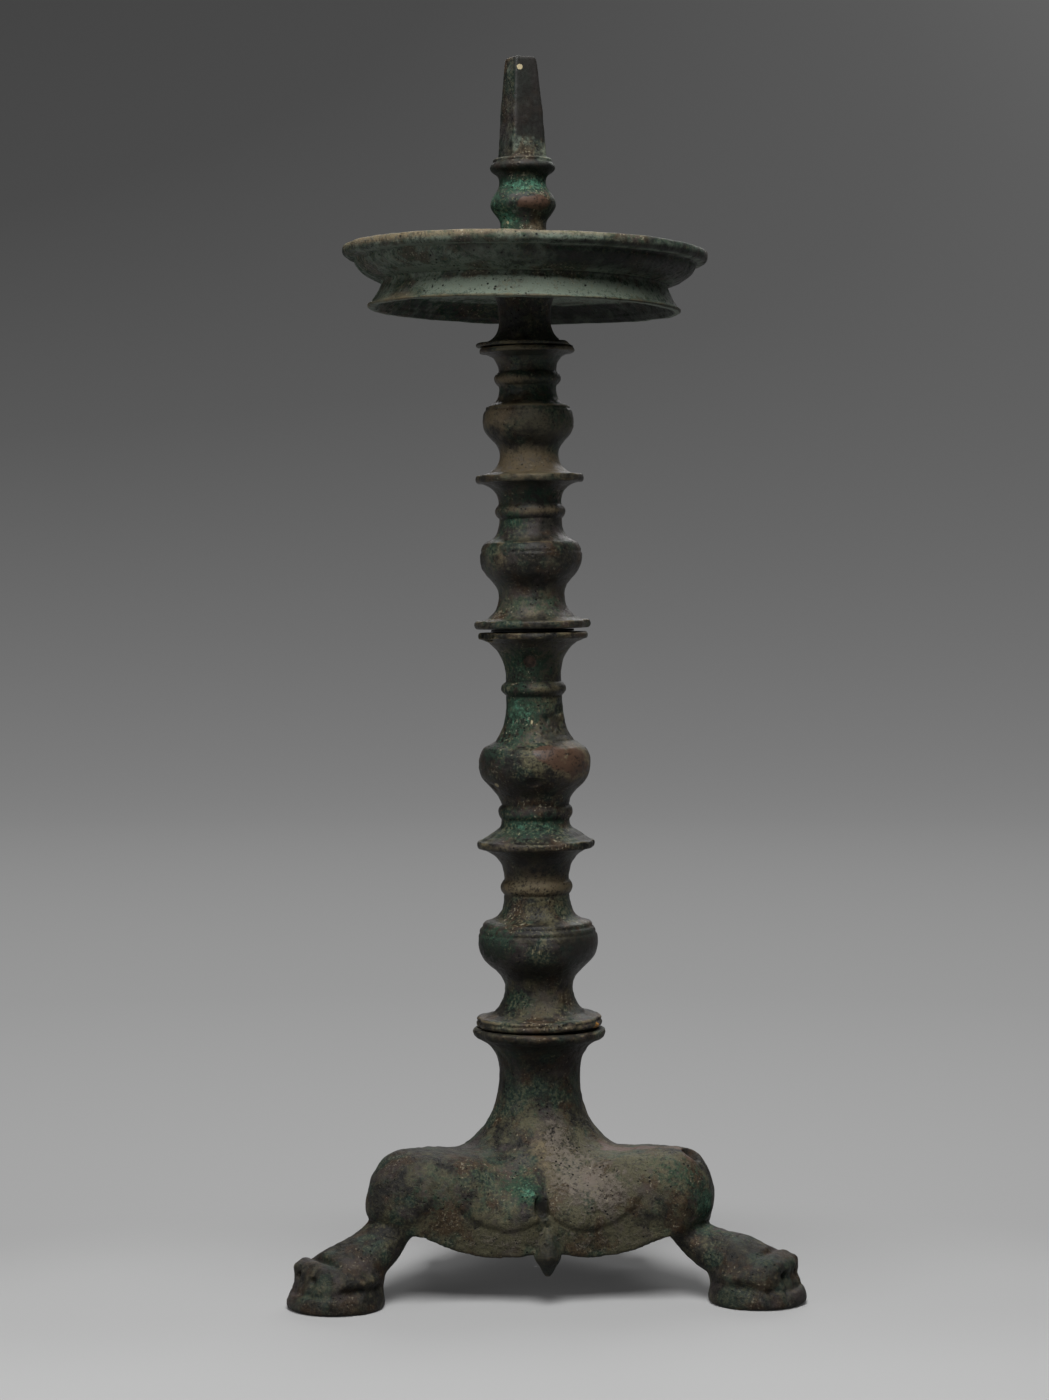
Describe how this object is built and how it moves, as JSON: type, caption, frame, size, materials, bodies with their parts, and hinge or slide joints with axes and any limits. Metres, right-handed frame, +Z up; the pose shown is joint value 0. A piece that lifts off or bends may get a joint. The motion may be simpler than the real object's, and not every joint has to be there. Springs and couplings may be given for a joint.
{
  "type": "lamp stand",
  "caption": "Cast bronze pricket lamp stand: lion-paw tripod foot, stacked baluster shafts, wide drip pan and a square tapering spike that holds a lamp.",
  "frame": {"origin": "middle of the stand's outer box, on the floor under the feet", "axes": "+Z up along the stand, -Y to the front between the two front legs, +X to the right seen from the front"},
  "size_m": [0.2064, 0.1908, 0.4999],
  "materials": {
    "dark_bronze": "dark green-brown patina",
    "green_bronze": "green patina",
    "bare_bronze": "dull bare metal",
    "lead": "dull grey"
  },
  "bodies": {
    "foot": {"tripod_base": "dark_bronze"},
    "lower_pin": {"base_dowel": "bare_bronze"},
    "lower_stem": {"lower_shaft": "dark_bronze", "middle_packing_ring": "lead"},
    "middle_pin": {"middle_dowel": "bare_bronze"},
    "upper_stem": {"upper_shaft": "dark_bronze"},
    "collar": {"pan_collar": "dark_bronze"},
    "pan": {"drip_pan": "green_bronze"},
    "spike": {"pricket": "green_bronze"}
  },
  "joints": [
    {"name": "base_dowel_lift", "type": "slide", "parent": "foot", "child": "lower_pin", "axis": [0, 0, 1], "range_m": [0, 0.026]},
    {"name": "lower_shaft_turn", "type": "hinge", "parent": "lower_pin", "child": "lower_stem", "pos_m": [0, -0.021, 0.10425], "axis": [-0.0175, 0, 0.9998], "continuous": true},
    {"name": "middle_dowel_lift", "type": "slide", "parent": "lower_stem", "child": "middle_pin", "axis": [-0.0175, 0, 0.9998], "range_m": [0, 0.026]},
    {"name": "upper_shaft_turn", "type": "hinge", "parent": "middle_pin", "child": "upper_stem", "pos_m": [-0.00285, -0.021, 0.26749], "axis": [-0.0209, 0, 0.9998], "continuous": true},
    {"name": "collar_lift", "type": "slide", "parent": "upper_stem", "child": "collar", "axis": [-0.0157, 0, 0.9999], "range_m": [0, 0.022]},
    {"name": "pan_turn", "type": "hinge", "parent": "collar", "child": "pan", "pos_m": [-0.0062, -0.021, 0.40438], "axis": [0.0175, 0, 0.9998], "continuous": true},
    {"name": "pricket_lift", "type": "slide", "parent": "collar", "child": "spike", "axis": [-0.0157, 0, 0.9999], "range_m": [0, 0.05]}
  ]
}
